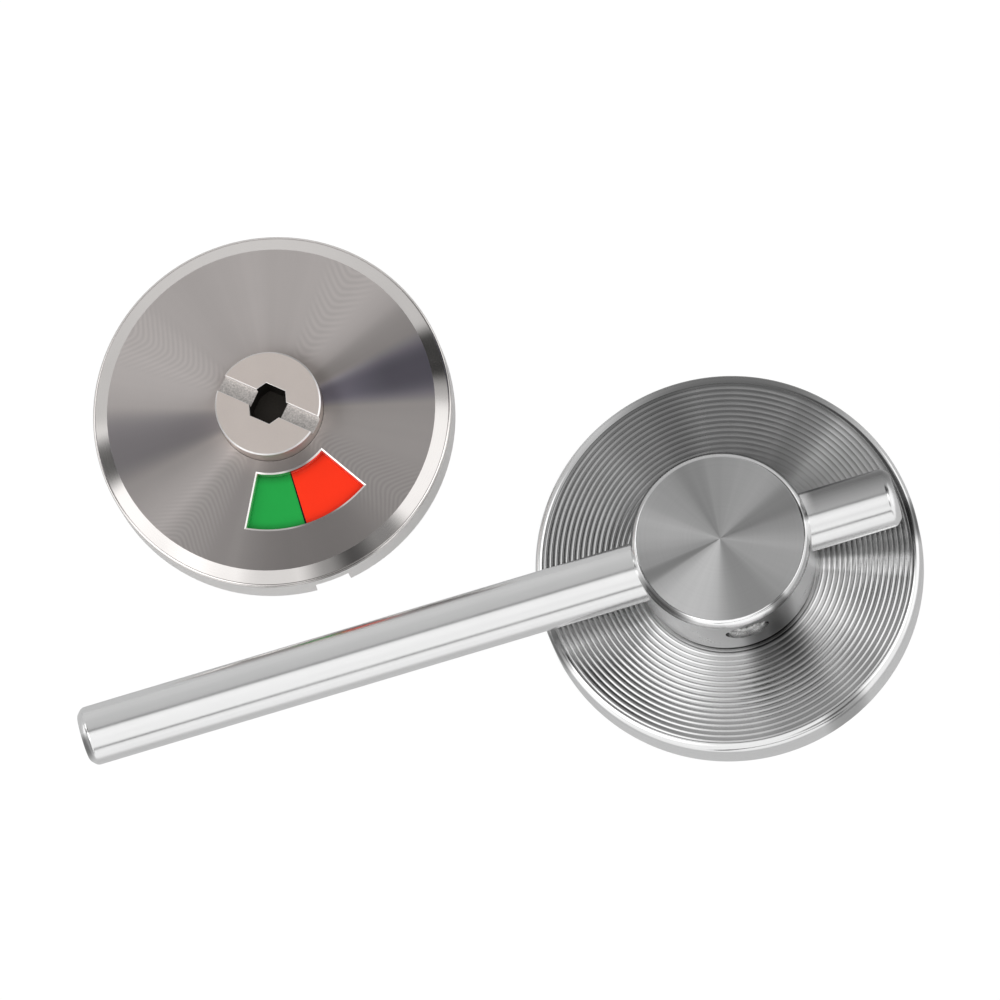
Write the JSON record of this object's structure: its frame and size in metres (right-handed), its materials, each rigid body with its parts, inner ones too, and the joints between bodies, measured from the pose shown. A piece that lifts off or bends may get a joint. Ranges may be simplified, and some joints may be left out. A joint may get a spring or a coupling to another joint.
{
  "type": "turn and release set with occupancy indicator",
  "caption": "Door turn-and-release set: a long round bar lever on a grooved round rose, and a satin round rose with a slotted release boss and a red and green window.",
  "frame": {"origin": "on the lever axis, at the door face that both halves sit on", "axes": "+Z out of the door face towards both faces, +X from the indicator half towards the lever half, +Y up the picture"},
  "size_m": [0.1125, 0.0751, 0.0755],
  "materials": {
    "lever_steel": "turned satin steel with fine concentric marks",
    "bar_steel": "finely ground bright steel",
    "rose_satin": "turned satin steel with a polished bevel",
    "release_satin": "fine satin, slightly warm",
    "enamel_green": "glossy green enamel",
    "enamel_red": "glossy red enamel",
    "disc_white": "plain white paint",
    "zinc_plate": "dull zinc plating",
    "bolt_steel": "bright zinc plating",
    "spring_steel": "dark spring steel",
    "screw_steel": "bright steel",
    "bush_brass": "plain turned brass",
    "washer_black": "black nylon"
  },
  "bodies": {
    "fixed_halves": {"lever_rose": "lever_steel", "lever_base_plate": "zinc_plate", "lever_rose_clip": "spring_steel", "lever_bush": "bush_brass", "fixing_bolts": "bolt_steel", "indicator_rose": "rose_satin", "indicator_base_plate": "zinc_plate", "indicator_rose_clip": "spring_steel", "indicator_bush": "bush_brass", "threaded_pillars": "bolt_steel"},
    "lever": {"lever_hub": "lever_steel", "lever_bar": "bar_steel", "lever_grub_screw": "screw_steel", "lever_thrust_washer": "washer_black", "lever_back_washer": "bolt_steel", "lever_disc_spring": "spring_steel", "lever_circlip": "spring_steel", "spindle": "bolt_steel", "spindle_pin": "spring_steel"},
    "indicator": {"release_turn": "release_satin", "indicator_disc": "disc_white", "green_sector": "enamel_green", "red_sector": "enamel_red", "indicator_back_washer": "bolt_steel", "indicator_disc_spring": "spring_steel", "indicator_circlip": "spring_steel"}
  },
  "joints": [
    {"name": "lever_turn", "type": "hinge", "parent": "fixed_halves", "child": "lever", "pos_m": [0, 0, 0], "axis": [0, 0, 1], "range_deg": [-45, 45]},
    {"name": "indicator_turn", "type": "hinge", "parent": "fixed_halves", "child": "indicator", "pos_m": [-0.062, 0.0223, 0], "axis": [0, 0, 1], "range_deg": [-45, 45]}
  ],
  "couplings": [
    {"joint": "indicator_turn", "follows": "lever_turn", "ratio": -1}
  ]
}
